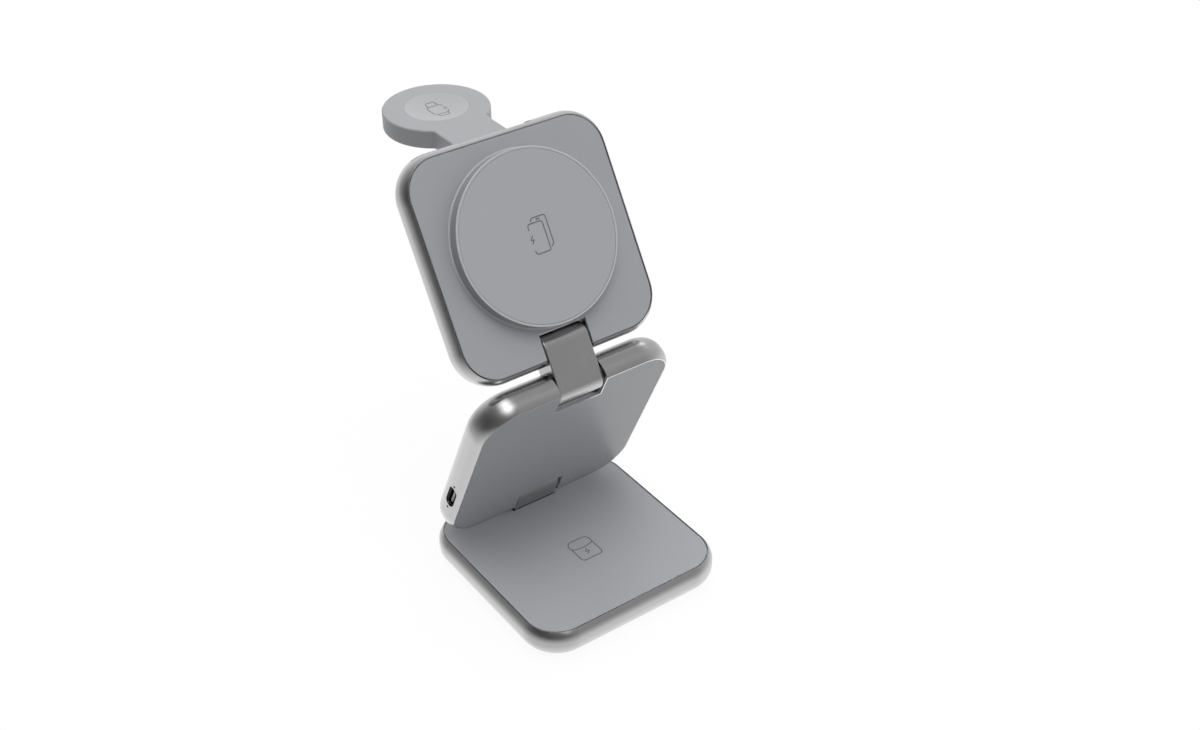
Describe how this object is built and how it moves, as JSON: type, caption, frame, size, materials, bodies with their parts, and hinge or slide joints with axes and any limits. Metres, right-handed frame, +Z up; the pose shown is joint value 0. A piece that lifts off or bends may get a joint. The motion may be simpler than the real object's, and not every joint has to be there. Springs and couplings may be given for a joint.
{
  "type": "three in one wireless charger",
  "caption": "Folding Z-shaped desk charger of rounded-square pads on double-pin hinge links, with a raised magnetic phone disc, an earbuds pad and a swing-out watch arm.",
  "frame": {"origin": "middle of the foot's underside, on the surface it stands on", "axes": "+Z up, front toward -Y, +X to the right as seen from the front"},
  "size_m": [0.0676, 0.119, 0.1348],
  "materials": {
    "shell_metal": "satin anodised, fine blasted",
    "panel": "matte, very fine grain",
    "link_metal": "fine brushed",
    "soft_foot": "matte silicone",
    "steel": "ground",
    "board": "solder mask",
    "copper": "enamelled winding",
    "ferrite": "sintered",
    "magnet": "nickel plated",
    "carrier": "moulded",
    "disc_rim": "soft touch",
    "disc_face": "soft matte",
    "arm": "matte anodised",
    "dish": "smooth satin",
    "tongue": "moulded"
  },
  "bodies": {
    "base": {"base_shell": "shell_metal", "base_panel": "panel", "base_foot": "soft_foot", "base_weight": "steel", "base_board": "board", "base_coil": "copper", "base_ferrite": "ferrite", "base_hinge_pin": "steel", "base_hinge_washers": "steel"},
    "lower_link": {"lower_link_body": "link_metal", "lower_link_cover": "link_metal"},
    "middle": {"middle_shell": "shell_metal", "middle_panel": "panel", "usb_receptacle": "steel", "usb_tongue": "tongue", "main_board": "board", "main_board_screws": "steel", "shield_can": "steel", "middle_lower_hinge_pin": "steel", "middle_upper_hinge_pin": "steel", "middle_hinge_washers": "steel"},
    "upper_link": {"upper_link_body": "link_metal", "upper_link_cover": "link_metal"},
    "top": {"top_shell": "shell_metal", "top_panel": "panel", "disc_ring": "disc_rim", "disc_face": "disc_face", "coil_carrier": "carrier", "magnet_ring": "magnet", "phone_ferrite": "ferrite", "phone_coil": "copper", "top_board": "board", "top_hinge_pin": "steel", "top_hinge_washers": "steel", "arm_hinge_pin": "steel"},
    "watch_arm": {"arm_body": "arm", "arm_cover": "arm", "watch_dish": "dish", "watch_coil": "copper", "watch_magnet": "magnet"}
  },
  "joints": [
    {"name": "base_hinge", "type": "hinge", "parent": "base", "child": "lower_link", "pos_m": [0, 0.0288, 0.00635], "axis": [1, 0, 0], "range_deg": [-204.7, 0]},
    {"name": "middle_lower_hinge", "type": "hinge", "parent": "lower_link", "child": "middle", "pos_m": [0, 0.02353, 0.01779], "axis": [1, 0, 0], "range_deg": [-90, 60]},
    {"name": "middle_upper_hinge", "type": "hinge", "parent": "middle", "child": "upper_link", "pos_m": [0, -0.00059, 0.0701], "axis": [-1, 0, 0], "range_deg": [-147, 32.9]},
    {"name": "top_hinge", "type": "hinge", "parent": "upper_link", "child": "top", "pos_m": [0, 0.00615, 0.08075], "axis": [-1, 0, 0], "range_deg": [-90, 90]},
    {"name": "watch_arm_hinge", "type": "hinge", "parent": "top", "child": "watch_arm", "pos_m": [0, 0.03942, 0.12762], "axis": [-1, 0, 0], "range_deg": [0, 121.5]}
  ]
}
